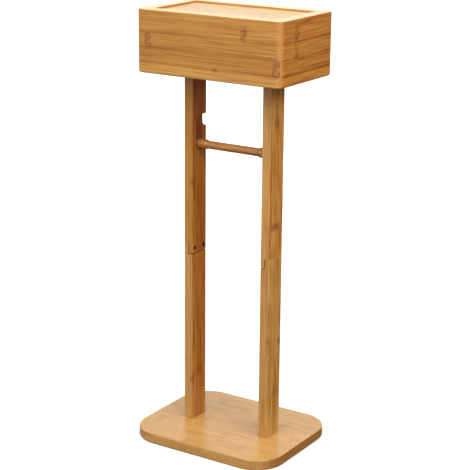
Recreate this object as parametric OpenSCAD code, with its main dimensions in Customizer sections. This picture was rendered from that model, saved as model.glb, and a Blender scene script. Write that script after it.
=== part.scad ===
// Free-standing toilet roll holder of bamboo, with a lidded shelf box on two posts.
// Millimetres. X runs left to right, Y from front to back and Z up from the floor.
// The origin is on the floor, under the middle of the base board.

/* [Base board] */
// Width of the base board, left to right
base_w = 267; // [220:1:340]
// Depth of the base board, front to back
base_d = 213; // [160:1:280]
// Thickness of the base board
base_t = 17; // [12:0.5:25]
// Radius of the base board's corners, seen from above
base_corner_r = 50; // [15:1:70]

/* [Posts] */
// Clear gap between the two posts, where the roll hangs
post_gap = 128.5; // [115:0.5:150]
// Thickness of a post, left to right
post_t = 16; // [14:0.5:20]
// Depth of a post, front to back
post_d = 39; // [34:0.5:50]
// Height of the posts, from the base board to the shelf box
post_h = 585.5; // [540:0.5:680]
// Radius of a post's long edges
post_edge_r = 1.5; // [0.5:0.1:3]

/* [Half-lap joints] */
// Height of the lap's lower shoulder above the base board
lap_rise = 287; // [200:1:400]
// Length of the lap
lap_len = 15; // [13:0.5:30]
// Open gap along the inner tongue and under its end
lap_gap = 1.5; // [0.3:0.1:2]
// Size of the V that breaks the joint line on the outer face
lap_vee = 0.7; // [0.3:0.1:1.5]

/* [Roll bar and its slots] */
// Height of the bar's axis above the base board
bar_rise = 467; // [440:1:480]
// Diameter of the bar between its ends
bar_d = 13; // [9:0.5:14]
// Diameter of the bar's thicker ends
bar_end_d = 16; // [14.5:0.5:16.5]
// Length of each thicker end, with its taper
bar_end_len = 24; // [14:0.5:30]
// Length of the taper from the bar up to a thicker end
bar_taper = 4; // [1:0.5:6]
// Radius of the rounding on the bar's two tips
bar_tip_r = 7; // [2:0.5:7]
// Play between each tip and the floor of its slot
bar_end_play = 0.8; // [0.3:0.1:1.5]
// Width of the slot that a bar end slides in
slot_w = 18.5; // [17:0.5:20]
// Depth of the slot, into the post
slot_depth = 7.5; // [6:0.5:9]
// Radius between the floor and the sides of the slot
slot_floor_r = 5; // [1:0.5:5.5]
// Rise of the slot from the bar's seat to the mouth in the rear edge
slot_rise = 36; // [28:1:45]
// Radius on the upper and lower edges of the slot's mouth
slot_mouth_r = 3; // [1:0.5:4]

/* [Shelf box] */
// Width of the box
box_w = 260; // [240:1:320]
// Depth of the box
box_d = 154.5; // [130:0.5:220]
// Height of the box
box_h = 98.5; // [80:0.5:140]
// Thickness of the box's walls
wall_t = 20; // [16:0.5:24]
// Radius of the box's upright corners
box_corner_r = 10; // [4:0.5:15]
// Thickness of the box's bottom board
bottom_t = 9; // [7:0.5:14]
// How far the bottom board is let into the walls
rebate_w = 8; // [4:0.5:10]
// Clearance round the bottom board in its rebate
rebate_gap = 0.2; // [0.1:0.1:0.5]

/* [Lid] */
// Thickness of the lid panel
lid_t = 8; // [6:0.5:12]
// Depth of the lid's upper face below the rim
lid_recess = 3; // [2:0.5:12]
// Gap between the lid and the walls, all round
lid_gap = 1; // [0.5:0.1:2]
// Width of the ledge strips that the lid rests on
ledge_w = 10; // [8:0.5:15]
// Height of the ledge strips
ledge_h = 10; // [8:0.5:15]
// Radius of the half-moon finger notch in the lid's front edge
notch_r = 14; // [11:0.5:17]

/* [Screws] */
// Diameter of the screws that hold the posts
post_screw_d = 4; // [3.5:0.1:5]
// Diameter of the screws through the half-laps
lap_screw_d = 3.5; // [3:0.1:4]
// Distance between a post's two screws
screw_pitch = 25; // [20:0.5:25.5]
// Height of the lap screws above the lap's lower shoulder
lap_screw_rise = 9.5; // [7:0.5:10]
// Depth to which the long screws enter a post
screw_bite = 29; // [20:1:40]
// Wood left between a lap screw's tip and the outer face
lap_screw_cover = 3; // [2:0.5:4]
// Depth of the counterbores under the base board
counterbore_h = 5; // [3:0.5:7]

/* [Edges] */
// Radius on the upper edges of the base board, box and lid
ease_top = 1; // [0.5:0.1:2]
// Radius on the lower edges of the base board and box
ease_bottom = 3; // [1:0.5:4]

/* [Hidden] */

$fn = 96;
over = 1; // how far a cutter runs past the face that it opens
seat_gap = 0.3; // air under the roll bar and the lid at rest
screw_gap = 0.1; // clearance round a screw
head_ratio = 2; // a screw head's diameter over its shank's
head_sink = 0.2; // how far a screw head lies below the face
finger_room = 3; // how far the front ledges stay clear of the notch, each side

// Heights of the main levels above the floor
box_z = base_t + post_h;
box_top = box_z + box_h;
lid_z = box_top - lid_recess - lid_t;
lap_low = base_t + lap_rise;
lap_high = lap_low + lap_len;
lap_screw_z = lap_low + lap_screw_rise;
bar_z = base_t + bar_rise;

// Places across the width, on the right side
post_inner_x = post_gap / 2;
post_outer_x = post_inner_x + post_t;
post_mid_x = post_inner_x + post_t / 2;

// The bar's end rests just above the bottom of the slot
slot_seat_z = bar_z + (slot_w - bar_end_d) / 2 - seat_gap;
slot_mouth_z = slot_seat_z + slot_rise;
bar_len = post_gap + 2 * (slot_depth - bar_end_play);

// Plan of the space inside the box
room_w = box_w - 2 * wall_t;
room_d = box_d - 2 * wall_t;

post_colour = "#B9813F";
box_colour = "#C6924F";
board_colour = "#DDB27A";
steel_colour = "#3A3836";

// What lies outside a rounding of radius r, in the quarter beyond its centre
module corner_waste(r) {
    difference() {
        square(r + over);
        circle(r);
    }
}

// A board's section: w wide and h high, with rounded upper and lower edges
module eased_section(w, h, top_r, bottom_r) {
    difference() {
        translate([-w / 2, 0]) square([w, h]);
        for (side = [0, 1]) mirror([side, 0]) {
            translate([w / 2 - top_r, h - top_r]) corner_waste(top_r);
            translate([w / 2 - bottom_r, bottom_r]) mirror([0, 1]) corner_waste(bottom_r);
        }
    }
}

// A board w by d by h with corners of radius r and rounded upper and lower edges
module eased_board(w, d, h, r, top_r, bottom_r) {
    rotate([90, 0, 0]) linear_extrude(d - 2 * r, center = true)
        eased_section(w, h, top_r, bottom_r);
    rotate([90, 0, 90]) linear_extrude(w - 2 * r, center = true)
        eased_section(d, h, top_r, bottom_r);
    for (x = [-1, 1], y = [-1, 1])
        translate([x * (w / 2 - r), y * (d / 2 - r), 0])
            rotate_extrude() intersection() {
                eased_section(2 * r, h, top_r, bottom_r);
                square([r, h]);
            }
}

// A rectangle with rounded corners, centred
module rounded_rectangle(w, d, r) {
    square([w - 2 * r, d], center = true);
    square([w, d - 2 * r], center = true);
    for (x = [-1, 1], y = [-1, 1])
        translate([x * (w / 2 - r), y * (d / 2 - r)]) circle(r);
}

// A countersunk screw: its head's face at z = 0, its point at z = -len
module screw(d, len) {
    head_d = head_ratio * d;
    head_h = (head_d - d) / 2;
    point_h = d;
    slot_len = 0.6 * head_d;
    slot_t = 0.22 * d;
    difference() {
        union() {
            translate([0, 0, -head_h]) cylinder(h = head_h, d1 = d, d2 = head_d);
            translate([0, 0, point_h - len]) cylinder(h = len - head_h - point_h, d = d);
            translate([0, 0, -len]) cylinder(h = point_h, d1 = 0.2 * d, d2 = d);
        }
        for (turn = [0, 90])
            rotate(turn) translate([-slot_len / 2, -slot_t / 2, -head_h])
                cube([slot_len, slot_t, head_h + over]);
    }
}

// The hole that such a screw goes in, open above its head by the height clear
module screw_hole(d, len, clear) {
    head_d = head_ratio * d + 2 * screw_gap;
    bore_d = d + 2 * screw_gap;
    head_h = (head_d - bore_d) / 2;
    translate([0, 0, -len - over]) cylinder(h = len + over, d = bore_d);
    translate([0, 0, -head_h]) cylinder(h = head_h, d1 = bore_d, d2 = head_d);
    cylinder(h = clear, d = head_d);
}

// Carries what it holds to the two screw places over a post on the right side
module at_post_screws() {
    for (y = [-1, 1])
        translate([post_mid_x, y * screw_pitch / 2, 0]) children();
}

// Carries what it holds to both sides
module on_both_sides() {
    for (side = [0, 1]) mirror([side, 0, 0]) children();
}

// Screws from under the base board up into the posts' feet, right side
module base_screw_pair(hole) {
    len = base_t - counterbore_h + screw_bite;
    at_post_screws() translate([0, 0, counterbore_h]) rotate([180, 0, 0])
        if (hole) screw_hole(post_screw_d, len, counterbore_h + over);
        else screw(post_screw_d, len);
}

// Screws from inside the box down into the posts' heads, right side
module box_screw_pair(hole) {
    len = bottom_t - head_sink + screw_bite;
    at_post_screws() translate([0, 0, box_z + bottom_t - head_sink])
        if (hole) screw_hole(post_screw_d, len, head_sink + over);
        else screw(post_screw_d, len);
}

// Screws through the half-lap from the inner face, right side
module lap_screw_pair(hole) {
    len = post_t - head_sink - lap_screw_cover;
    for (y = [-1, 1])
        translate([post_inner_x + head_sink, y * screw_pitch / 2, lap_screw_z])
            rotate([0, -90, 0])
                if (hole) screw_hole(lap_screw_d, len, head_sink + over);
                else screw(lap_screw_d, len);
}

module base_board() {
    color(board_colour) difference() {
        eased_board(base_w, base_d, base_t, base_corner_r, ease_top, ease_bottom);
        on_both_sides() base_screw_pair(hole = true);
    }
}

// A length of post on the right side between two heights
module post_length(z0, z1) {
    translate([post_mid_x, 0, z0]) linear_extrude(z1 - z0)
        rounded_rectangle(post_t, post_d, post_edge_r);
}

// The V along the lap's joint line on the outer face of the right post
module lap_vee_cut() {
    translate([post_outer_x, 0, lap_high]) rotate([0, 45, 0])
        cube([lap_vee * sqrt(2), post_d + 2 * over, lap_vee * sqrt(2)], center = true);
}

// Right lower length: its tongue is the outer half and reaches up to lap_high
module right_post_lower() {
    difference() {
        post_length(base_t, lap_high);
        translate([post_inner_x - over, -post_d / 2 - over, lap_low])
            cube([post_t / 2 + over, post_d + 2 * over, lap_len + over]);
        lap_vee_cut();
        lap_screw_pair(hole = true);
        base_screw_pair(hole = true);
    }
}

// Right upper length: its tongue is the inner half and stops short of lap_low.
// Its outer half stands on the lower length's tongue.
module right_post_upper() {
    difference() {
        post_length(lap_low + lap_gap, box_z);
        translate([post_mid_x - lap_gap, -post_d / 2 - over, lap_low])
            cube([post_t, post_d + 2 * over, lap_len]);
        lap_vee_cut();
        lap_screw_pair(hole = true);
        box_screw_pair(hole = true);
        bar_slot();
    }
}

// Half of the slot's section: slot_w / 2 wide, slot_depth deep, rounded at the floor
module slot_half_section() {
    difference() {
        translate([0, -over]) square([slot_w / 2, slot_depth + over]);
        translate([slot_w / 2 - slot_floor_r, slot_depth - slot_floor_r])
            corner_waste(slot_floor_r);
    }
}

// One straight pass of the slot, len long, from the origin up
module slot_pass(len) {
    rotate([0, 0, -90]) linear_extrude(len)
        for (side = [0, 1]) mirror([side, 0]) slot_half_section();
}

// The round end of a pass, where the cutter turns
module slot_turn() {
    rotate([0, 90, 0]) rotate_extrude() slot_half_section();
}

// Rounds the upper edge of the slot's mouth, as if the cutter bent round it
module mouth_rounding() {
    turn_r = slot_w / 2 + slot_mouth_r;
    translate([0, post_d / 2 - slot_mouth_r, turn_r]) intersection() {
        rotate([0, 90, 0]) rotate_extrude()
            translate([turn_r, 0]) mirror([1, 0]) slot_half_section();
        translate([-over, 0, -turn_r])
            cube([slot_depth + 2 * over, slot_mouth_r + over, turn_r]);
    }
}

// L-shaped slot in the right post's inner face: in from the rear edge, then down
module bar_slot() {
    translate([post_inner_x, 0, slot_seat_z]) {
        slot_turn();
        slot_pass(slot_rise);
    }
    translate([post_inner_x, 0, slot_mouth_z]) {
        slot_turn();
        rotate([-90, 0, 0]) slot_pass(post_d / 2 + over);
        for (side = [0, 1]) mirror([0, 0, side]) mouth_rounding();
    }
}

module post_lower_left() {
    color(post_colour) mirror([1, 0, 0]) right_post_lower();
}

module post_lower_right() {
    color(post_colour) right_post_lower();
}

module post_upper_left() {
    color(post_colour) mirror([1, 0, 0]) right_post_upper();
}

module post_upper_right() {
    color(post_colour) right_post_upper();
}

// Half section of one thicker bar end, from the foot of its taper at y = 0 to its tip
module bar_end_section() {
    difference() {
        polygon([[0, 0], [bar_d / 2, 0], [bar_end_d / 2, bar_taper],
                 [bar_end_d / 2, bar_end_len], [0, bar_end_len]]);
        translate([bar_end_d / 2 - bar_tip_r, bar_end_len - bar_tip_r]) corner_waste(bar_tip_r);
    }
}

module roll_bar() {
    half_len = bar_len / 2;
    color(post_colour) translate([0, 0, bar_z]) rotate([0, 90, 0]) rotate_extrude()
        for (side = [0, 1]) mirror([0, side]) {
            square([bar_d / 2, half_len - bar_tip_r]);
            translate([0, half_len - bar_end_len]) bar_end_section();
        }
}

// Plan of one mitred wall along the front of a box that is len wide and across deep
module mitred_plan(len, across) {
    far_x = len / 2 + over;
    far_y = across / 2 + over;
    near_x = len / 2 - wall_t;
    near_y = across / 2 - wall_t;
    polygon([[-far_x, -far_y], [far_x, -far_y], [near_x, -near_y], [-near_x, -near_y]]);
}

// One wall of the box, mitred at both ends, with the rebate for the bottom board
module box_wall(len, across) {
    rebate_d = across - 2 * wall_t + 2 * rebate_w;
    translate([0, 0, box_z]) difference() {
        intersection() {
            eased_board(len, across, box_h, box_corner_r, ease_top, ease_bottom);
            linear_extrude(box_h) mitred_plan(len, across);
        }
        translate([-len / 2 + wall_t - rebate_w, -rebate_d / 2, -over])
            cube([len - 2 * wall_t + 2 * rebate_w, rebate_d, bottom_t + over]);
        // The inner edge of the rim is rounded too
        translate([0, wall_t - across / 2 - ease_top, box_h - ease_top])
            rotate([90, 0, 90]) linear_extrude(len, center = true) corner_waste(ease_top);
    }
}

module box_front_board() {
    color(box_colour) box_wall(box_w, box_d);
}

module box_back_board() {
    color(box_colour) rotate(180) box_wall(box_w, box_d);
}

module box_left_board() {
    color(box_colour) rotate(-90) box_wall(box_d, box_w);
}

module box_right_board() {
    color(box_colour) rotate(90) box_wall(box_d, box_w);
}

module box_bottom_board() {
    w = room_w + 2 * (rebate_w - rebate_gap);
    d = room_d + 2 * (rebate_w - rebate_gap);
    color(box_colour) difference() {
        translate([-w / 2, -d / 2, box_z]) cube([w, d, bottom_t]);
        on_both_sides() box_screw_pair(hole = true);
    }
}

// A ledge strip under the lid, on the wall at y = -wall_y, from x0 to x1
module ledge_strip(x0, x1, wall_y) {
    translate([x0, -wall_y, lid_z - seat_gap - ledge_h])
        cube([x1 - x0, ledge_w, ledge_h]);
}

// The front ledge is in two lengths, which leave room for a finger in the notch
module right_front_ledge() {
    ledge_strip(notch_r + finger_room, room_w / 2, room_d / 2);
}

module ledge_front_left() {
    color(box_colour) mirror([1, 0, 0]) right_front_ledge();
}

module ledge_front_right() {
    color(box_colour) right_front_ledge();
}

module ledge_back() {
    color(box_colour) rotate(180) ledge_strip(-room_w / 2, room_w / 2, room_d / 2);
}

// An end ledge fits between the front and back ledges
module side_ledge() {
    half_len = room_d / 2 - ledge_w;
    ledge_strip(-half_len, half_len, room_w / 2);
}

module ledge_left() {
    color(box_colour) rotate(-90) side_ledge();
}

module ledge_right() {
    color(box_colour) rotate(90) side_ledge();
}

module lid_panel() {
    w = room_w - 2 * lid_gap;
    d = room_d - 2 * lid_gap;
    color(board_colour) translate([0, 0, lid_z]) difference() {
        eased_board(w, d, lid_t, 2 * ease_top, ease_top, ease_top);
        translate([0, -d / 2, -over]) cylinder(h = lid_t + 2 * over, r = notch_r);
    }
}

module base_screws() {
    color(steel_colour) on_both_sides() base_screw_pair(hole = false);
}

module box_screws() {
    color(steel_colour) on_both_sides() box_screw_pair(hole = false);
}

module lap_screws_left() {
    color(steel_colour) mirror([1, 0, 0]) lap_screw_pair(hole = false);
}

module lap_screws_right() {
    color(steel_colour) lap_screw_pair(hole = false);
}

base_board();
post_lower_left();
post_lower_right();
post_upper_left();
post_upper_right();
roll_bar();
box_front_board();
box_back_board();
box_left_board();
box_right_board();
box_bottom_board();
ledge_front_left();
ledge_front_right();
ledge_back();
ledge_left();
ledge_right();
lid_panel();
base_screws();
box_screws();
lap_screws_left();
lap_screws_right();
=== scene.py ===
"""Looks of a free-standing toilet roll holder of laminated bamboo with a lidded shelf box on top.

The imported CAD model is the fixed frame. Its boards, posts and bar keep their meshes and get
bamboo finishes that follow how each board is glued up, and its screws are drawn anew with their
threads. Places and sizes are in metres, except where a name ends in _mm. X runs left to right,
Y from front to back and Z up from the floor.
"""

import logging
import math
from dataclasses import dataclass, field, replace
from enum import Enum
from functools import reduce
from typing import Any

import bpy
import numpy as np
from bpy.types import Material, NodeSocket, NodeTree, Object
from mathutils import Matrix, Vector


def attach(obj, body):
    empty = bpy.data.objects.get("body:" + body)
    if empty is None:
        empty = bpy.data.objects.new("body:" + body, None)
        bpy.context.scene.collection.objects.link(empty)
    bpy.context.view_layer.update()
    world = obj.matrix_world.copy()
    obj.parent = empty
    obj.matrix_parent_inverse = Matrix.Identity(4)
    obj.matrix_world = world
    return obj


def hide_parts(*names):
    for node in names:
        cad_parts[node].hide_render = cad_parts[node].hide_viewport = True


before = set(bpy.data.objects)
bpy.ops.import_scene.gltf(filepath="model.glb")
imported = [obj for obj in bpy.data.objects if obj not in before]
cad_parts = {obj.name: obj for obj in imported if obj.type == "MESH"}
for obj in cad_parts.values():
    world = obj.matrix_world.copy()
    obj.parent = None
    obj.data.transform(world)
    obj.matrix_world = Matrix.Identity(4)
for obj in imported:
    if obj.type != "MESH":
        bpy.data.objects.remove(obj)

MM = 0.001
SPARE_MM = 0.4  # added to a depth, so that the show face is clear of its layer's limit
FAR_AWAY = 1.0  # where the strip table puts a knuckle that a strip doesn't have
SMOOTH = {"interpolation_type": "SMOOTHSTEP"}  # makes a MapRange node fade softly
COLOURS = {"output": 2, "data_type": "RGBA"}  # makes a Mix node mix its inputs 6 and 7

# The figure that all bamboo here has. Shares run from 0 to 1.
STAGGER = 0.43  # how far each further layer is shifted, in widths of a strip
STRETCH_MM = (900.0, 300.0, 0.0)  # how far apart strips may lie in the same field of fibres
SWAY_MM = 1.6  # swing of the fibres' slow sway
BOW_MM, BOW_REACH_MM = 1.2, 9.0  # how far fibres bow beside a knuckle, and where that ends
DENSE_REACH = 0.28  # share of a strip's width that its dense side takes
SCAR_OFF_MM = 4.5  # from a knuckle's middle to each of its two scars
SCAR_SWING_MM = 6.0  # swing of a scar's wobble
WEAKEST_KNUCKLE = 0.55  # strength of the weakest knuckle, where the strongest has 1
BUNDLE_STRETCH = 60.0  # length of a fibre bundle over its width
BUNDLE_SHARE = 0.22  # how dark a fibre bundle is
CUT_FROM_MM, CUT_FULL_MM = 0.7, 1.2  # how deep a face begins to count as cut, and where it does
# SANDED_HIGHLIGHT is how far a rounded end is painted paler: a painted highlight on the box's
# rounded corners.
SANDED_TONE, SANDED_EVEN, SANDED_HIGHLIGHT = 0.44, 0.85, 0.12  # tone of ends, how even, how pale

log = logging.getLogger("holder")

Colour = tuple[float, float, float, float]


def to_linear(hex_colour: str) -> Colour:
    """Turns an sRGB hex colour into linear red, green, blue and a full alpha.

    Args:
        hex_colour: Six hex digits, red first.

    Returns:
        The linear colour with alpha 1.
    """
    srgb = np.array([int(hex_colour[i:i + 2], 16) for i in (0, 2, 4)]) / 255
    linear = np.where(srgb <= 0.04045, srgb / 12.92, ((srgb + 0.055) / 1.055) ** 2.4)
    return (*(float(c) for c in linear), 1.0)


@dataclass
class Graph:
    """The nodes of a material or of the world, which stand in one tree.

    A MapRange node takes a value, the two limits that it runs between, and what the limits
    become, which is 0 and 1 where nothing else is given.
    """

    tree: NodeTree

    def add(self, kind: str, *values: Any, output: int | str = 0,
            named: dict[int | str, Any] | None = None, **settings: Any) -> NodeSocket:
        """Adds a node with its settings and links.

        Args:
            kind: Type of the node, without the words that all shader nodes' types start with,
                then its operation where it has one.
            values: What goes into its inputs, in order: sockets to link, or values.
            output: Number or name of the output that is wanted.
            named: What goes into inputs that are given by name or number.
            settings: Properties of the node, such as data_type.

        Returns:
            The wanted output socket.
        """
        kind, _, operation = kind.partition(" ")
        node = self.tree.nodes.new("ShaderNode" + kind)
        if operation:
            node.operation = operation
        for name, value in settings.items():
            setattr(node, name, value)
        for key, value in (dict(enumerate(values)) | (named or {})).items():
            if isinstance(value, NodeSocket):
                self.tree.links.new(value, node.inputs[key])
            else:
                node.inputs[key].default_value = value
        return node.outputs[output]

    def show(self, shader: NodeSocket) -> None:
        """Links a shader to the output of the material."""
        output = self.tree.nodes.new("ShaderNodeOutputMaterial")
        self.tree.links.new(shader, output.inputs["Surface"])


def set_stops(ramped: NodeSocket, stops: list[tuple[float, Colour]]) -> None:
    """Sets the stops of the ramp that a colour comes from.

    Args:
        ramped: Output of the ramp's node.
        stops: Place and colour of each stop, in order.
    """
    elements = ramped.node.color_ramp.elements
    while len(elements) < len(stops):
        elements.new(1.0)
    for number, (place, tint) in enumerate(stops):
        elements[number].position, elements[number].color = place, tint


def new_material(name: str) -> tuple[Material, Graph]:
    """Makes a material without any node.

    Args:
        name: Name of the material.

    Returns:
        The material and its graph.
    """
    material = bpy.data.materials.new(name)
    material.use_nodes = True
    material.node_tree.nodes.clear()
    return material, Graph(material.node_tree)


def wear(piece: Object, material: Material) -> None:
    """Gives a piece one material in place of those that it has.

    Args:
        piece: Mesh object to dress.
        material: Material that covers all of it.
    """
    piece.data.materials.clear()
    piece.data.materials.append(material)


class Run(Enum):
    """How a board lies: its axes along the grain, across the strips and through the layers."""

    WALL_ALONG_X = "XZY"
    WALL_ALONG_Y = "YZX"
    FLAT_ALONG_X = "XYZ"
    UPRIGHT = "ZYX"


@dataclass(frozen=True)
class Strip:
    """One strip of a board: its tone, 0 dark to 1 pale, and its knuckles, three at most."""

    tone: float
    knuckles_mm: tuple[float, ...] = ()


# A spot is a real brown mark in the wood, except where it is painted shade, as at the top of the
# right post and on the bar.
@dataclass(frozen=True)
class StainAndShade:
    """A soft brown spot: its middle, its reach, how dark it is and how deep it lies."""

    along_mm: float
    across_mm: float
    long_mm: float
    wide_mm: float
    strength: float
    depth_mm: float = 0.0


@dataclass(frozen=True)
class Streak:
    """One size of grain streak: noise drawn out along the fibres, and its share of the tone."""

    length_mm: float
    width_mm: float
    share: float = 1.0


@dataclass(frozen=True)
class Layup:
    """How one board is glued up from strips of split bamboo.

    Attributes:
        run: How the board lies.
        face_mm: Place of its show face on the axis through the layers.
        face_sign: 1 where the show face looks to the high side of that axis, -1 where to the low.
        strip_mm: Width of a strip.
        first_joint_mm: Place of the joint before the first strip, on the axis across.
        layer_mm: Thickness of a layer.
        span_mm: The board's low and high ends on the axis along the grain.
        strips: The strips of the show face, in order.
        seed: Number that makes this board's grain its own.
        section_mm: The board's thickness and half its width across, where faces are cut deep
            into it, or nothing where none are.
        rounded_mm: Length of each rounded end, along the grain.
        stains_and_shade: Soft brown spots on it, some of them painted shade.
    """

    run: Run
    face_mm: float
    face_sign: int
    strip_mm: float
    first_joint_mm: float
    layer_mm: float
    span_mm: tuple[float, float]
    strips: tuple[Strip, ...]
    seed: int
    section_mm: tuple[float, float] | None = None
    rounded_mm: float = 0.0
    stains_and_shade: tuple[StainAndShade, ...] = ()


def strips_by_chance(count: int, span_mm: tuple[float, float], each: int,
                     seed: int) -> tuple[Strip, ...]:
    """Picks tones and knuckles for strips that no photograph shows.

    Args:
        count: Number of strips.
        span_mm: Ends of the board along the grain.
        each: Most knuckles that a strip may have.
        seed: Seed of the random numbers.

    Returns:
        The strips, with tones round the middle and about three of four knuckles kept.
    """
    chance = np.random.default_rng(seed)
    tones = chance.uniform(0.3, 0.7, count)
    places = np.sort(chance.uniform(*span_mm, (count, each)), axis=1)
    kept = chance.random((count, each)) < 0.75
    return tuple(Strip(float(t), tuple(float(p) for p, k in zip(row, keep) if k))
                 for t, row, keep in zip(tones, places, kept))


@dataclass(frozen=True)
class LaminatedBamboo:
    """Carbonised bamboo strips glued side by side in layers, planed, sanded and lacquered.

    What it gives the eye: honey-brown strips about 2 cm wide that differ a little in tone, long
    fibre streaks, brown rings of flecks where a knuckle of the culm was planed flat, fine dots on
    the end grain, and a satin film that turns whitish at a glancing angle.

    Attributes:
        name: Name of the finish.
        dark: Colour of the densest fibre.
        mid: Colour of plain wood.
        pale: Colour of the softest wood between the fibres.
        char: Colour of knuckle flecks, glue lines, brown spots and painted shade.
        recess_shade: Colour of faces cut into the board, such as a slot's: painted shade.
        roughness: Roughness of the lacquered wood.
        coat: Weight of the clear film over it.
        coat_roughness: Roughness of that film.
        streaks: Sizes of the grain streaks.
        threads: Size and darkness of the dark threads among them.
        contrast: What the shares of streaks and threads are multiplied by.
        dense_side: How much darker a strip may be beside its lower joint, where the fibre that
            lay under the culm's skin is densest.
        bundle_mm: Spacing of the fibre bundles.
        knuckle_strength: How dark the knuckles are, 0 to 1.
        joint_strength: How dark the joints are, 0 to 1.
        halo_strength: How dark the brown patch round a knuckle is, 0 to 1.
        side_colour: Colour that a board's edges and ends tend to.
        side_share: How far the edges tend to it, 0 to 1.
        end_share: How far the end grain tends to it, 0 to 1.
    """

    name: str
    dark: str
    mid: str
    pale: str
    char: str = "6E3402"
    recess_shade: str = "8C4A1A"
    roughness: float = 0.33
    coat: float = 0.1
    coat_roughness: float = 0.22
    streaks: tuple[Streak, ...] = (
        Streak(150.0, 6.0, 0.65), Streak(80.0, 2.4, 1.15), Streak(40.0, 1.3, 0.85))
    threads: Streak = Streak(110.0, 1.8, 0.35)
    contrast: float = 1.0
    dense_side: float = 0.45
    bundle_mm: float = 1.3
    knuckle_strength: float = 1.0
    joint_strength: float = 0.35
    halo_strength: float = 0.3
    side_colour: str = "D0B57C"
    side_share: float = 0.0
    end_share: float = 0.0

    def dress(self, node: str, layup: Layup) -> Object:
        """Gives a board of the CAD model this finish.

        Args:
            node: Name of the board.
            layup: How the board is glued up.

        Returns:
            The board, in a material with its own joints and knuckles.
        """
        material, graph = new_material(f"{self.name}_{node}")
        BambooGraph(graph.tree, self, layup).draw()
        wear(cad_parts[node], material)
        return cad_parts[node]


@dataclass(frozen=True)
class Place:
    """Sockets that say where in its glued-up board a point lies, in millimetres.

    Attributes:
        point: The point along the grain, across the strips and below the show face.
        tone: Tone of the strip, 0 to 1.
        chance: Random colour of the strip in its layer.
        chances: The three numbers of that colour.
        part: Share of the strip's width that lies below the point, 0 to 1.
        joint: Distance to the nearest glue joint between strips.
        layer_joint: Distance to the nearest glue line between layers.
        knuckle: Distance along the grain to the nearest knuckle.
        wavy_knuckle: The same distance, bent by the wobble of the knuckle's ring.
        sanded: 1 on a rounded end, 0 away from it.
        cut: 1 on a face that is cut into the board, 0 on its outside, or nothing where the
            board has no such face.
    """

    point: NodeSocket
    tone: NodeSocket
    chance: NodeSocket
    chances: tuple[NodeSocket, NodeSocket, NodeSocket]
    part: NodeSocket
    joint: NodeSocket
    layer_joint: NodeSocket
    knuckle: NodeSocket
    wavy_knuckle: NodeSocket
    sanded: NodeSocket
    cut: NodeSocket | None


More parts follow.
